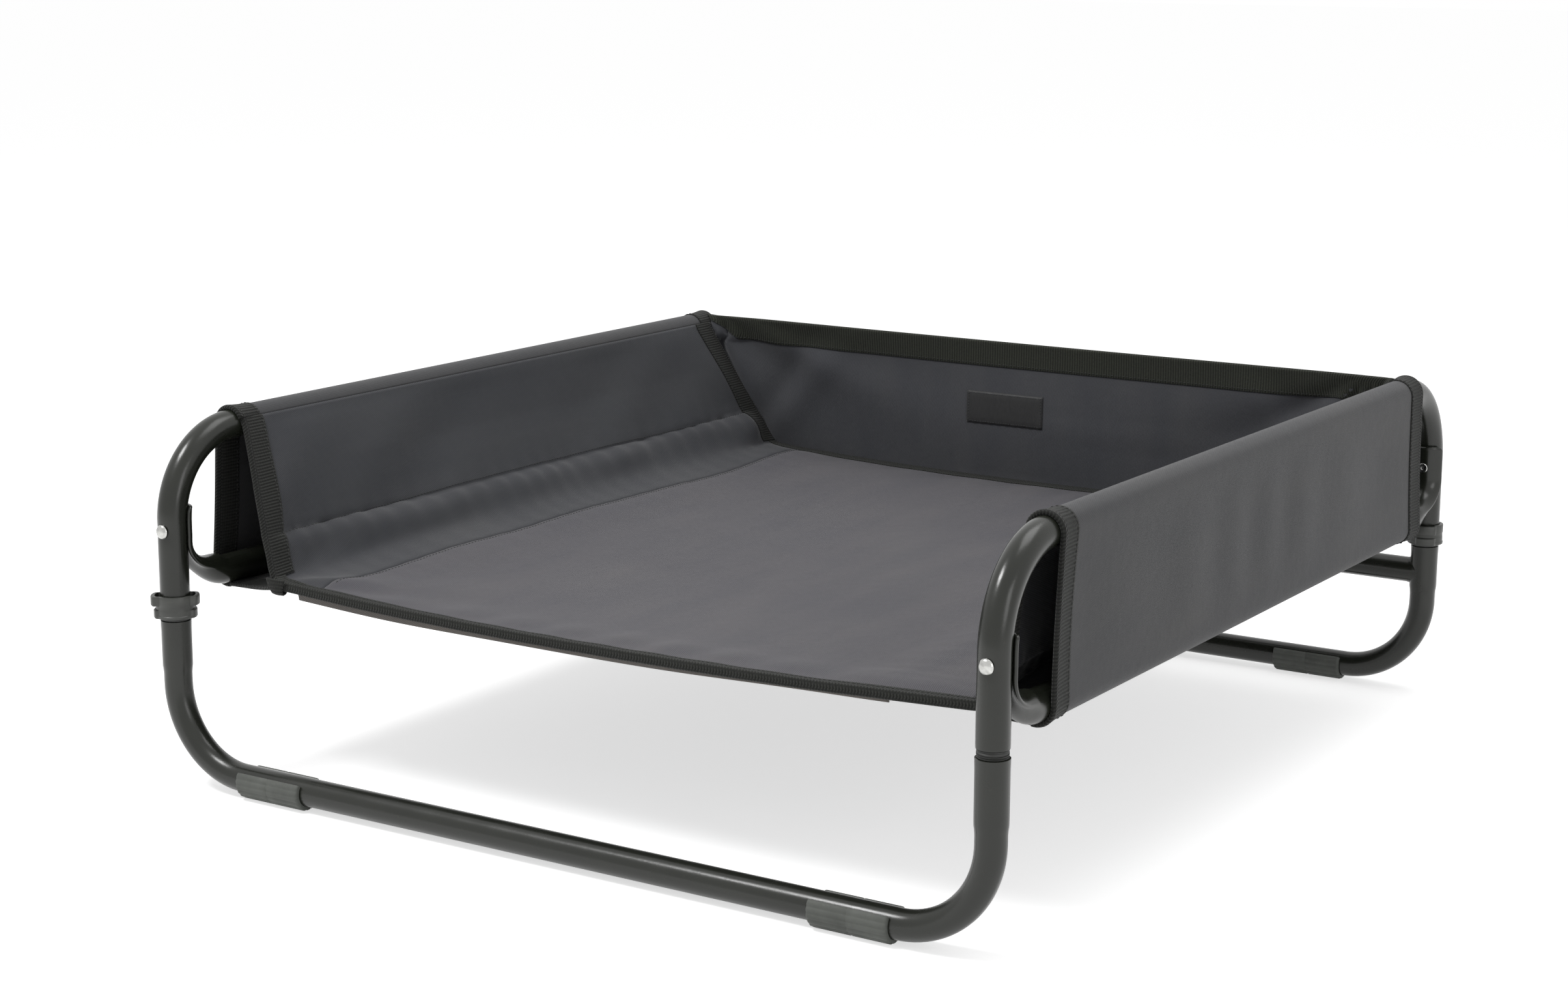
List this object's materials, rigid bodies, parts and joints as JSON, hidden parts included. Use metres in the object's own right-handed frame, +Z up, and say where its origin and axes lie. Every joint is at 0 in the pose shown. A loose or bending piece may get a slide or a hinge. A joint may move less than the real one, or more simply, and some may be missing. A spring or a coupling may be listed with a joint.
{
  "type": "folding dog bed",
  "caption": "Raised dog bed on a folding tubular frame, with a fabric seat between three low fabric walls and an open front.",
  "frame": {"origin": "on the floor, under the middle of the bed", "axes": "+Z up, -Y towards the open front, +X to the right as seen from the front"},
  "size_m": [0.7215, 0.7955, 0.2783],
  "materials": {
    "frame_paint": "smooth semi-gloss powder coat",
    "collar_plastic": "satin moulded",
    "plug_plastic": "satin moulded",
    "rivet_steel": "bright plated",
    "foot_rubber": "matt ribbed",
    "wall_fabric": "woven",
    "seat_fabric": "twill woven",
    "webbing": "ribbed webbing",
    "lining_fabric": "plain woven",
    "label_fabric": "smooth woven tape"
  },
  "bodies": {
    "right_side": {"right_hoop": "frame_paint", "right_lower_rail": "frame_paint", "right_front_bushing": "plug_plastic", "right_rear_upper_plug": "plug_plastic", "right_front_rivet": "rivet_steel", "right_rear_rivet": "rivet_steel", "right_sleeve": "wall_fabric", "right_front_binding": "webbing", "right_rear_binding": "webbing", "seat_panel": "seat_fabric", "front_hem_binding": "webbing", "front_under_strip": "lining_fabric", "back_panel": "wall_fabric", "back_webbing": "webbing", "back_label": "label_fabric"},
    "left_side": {"left_hoop": "frame_paint", "left_lower_rail": "frame_paint", "left_rear_bushing": "plug_plastic", "left_front_upper_plug": "plug_plastic", "left_front_rivet": "rivet_steel", "left_rear_rivet": "rivet_steel", "left_sleeve": "wall_fabric", "left_front_binding": "webbing", "left_rear_binding": "webbing"},
    "front_base": {"front_base_frame": "frame_paint", "left_front_lower_plug": "plug_plastic", "left_front_foot": "foot_rubber", "right_front_foot": "foot_rubber"},
    "rear_base": {"rear_base_frame": "frame_paint", "rear_crossbar": "frame_paint", "right_rear_lower_plug": "plug_plastic", "left_rear_foot": "foot_rubber", "right_rear_foot": "foot_rubber"},
    "left_collar": {"left_front_collar": "collar_plastic"},
    "right_collar": {"right_rear_collar": "collar_plastic"}
  },
  "joints": [
    {"name": "front_base_swing", "type": "hinge", "parent": "right_side", "child": "front_base", "pos_m": [0.345, -0.381, 0.13775], "axis": [0, 0, -1], "range_deg": [0, 90]},
    {"name": "side_close", "type": "slide", "parent": "right_side", "child": "left_side", "axis": [1, 0, 0], "range_m": [0, 0.63], "deforming": ["seat_panel", "front_hem_binding", "front_under_strip", "back_panel", "back_webbing", "back_label"]},
    {"name": "rear_base_swing", "type": "hinge", "parent": "left_side", "child": "rear_base", "pos_m": [-0.345, 0.381, 0.13775], "axis": [0, 0, -1], "range_deg": [0, 90]},
    {"name": "left_collar_turn", "type": "hinge", "parent": "left_side", "child": "left_collar", "pos_m": [-0.345, -0.381, 0.1368], "axis": [0, 0, 1], "range_deg": [0, 90]},
    {"name": "right_collar_turn", "type": "hinge", "parent": "right_side", "child": "right_collar", "pos_m": [0.345, 0.381, 0.1368], "axis": [0, 0, 1], "range_deg": [0, 90]}
  ]
}
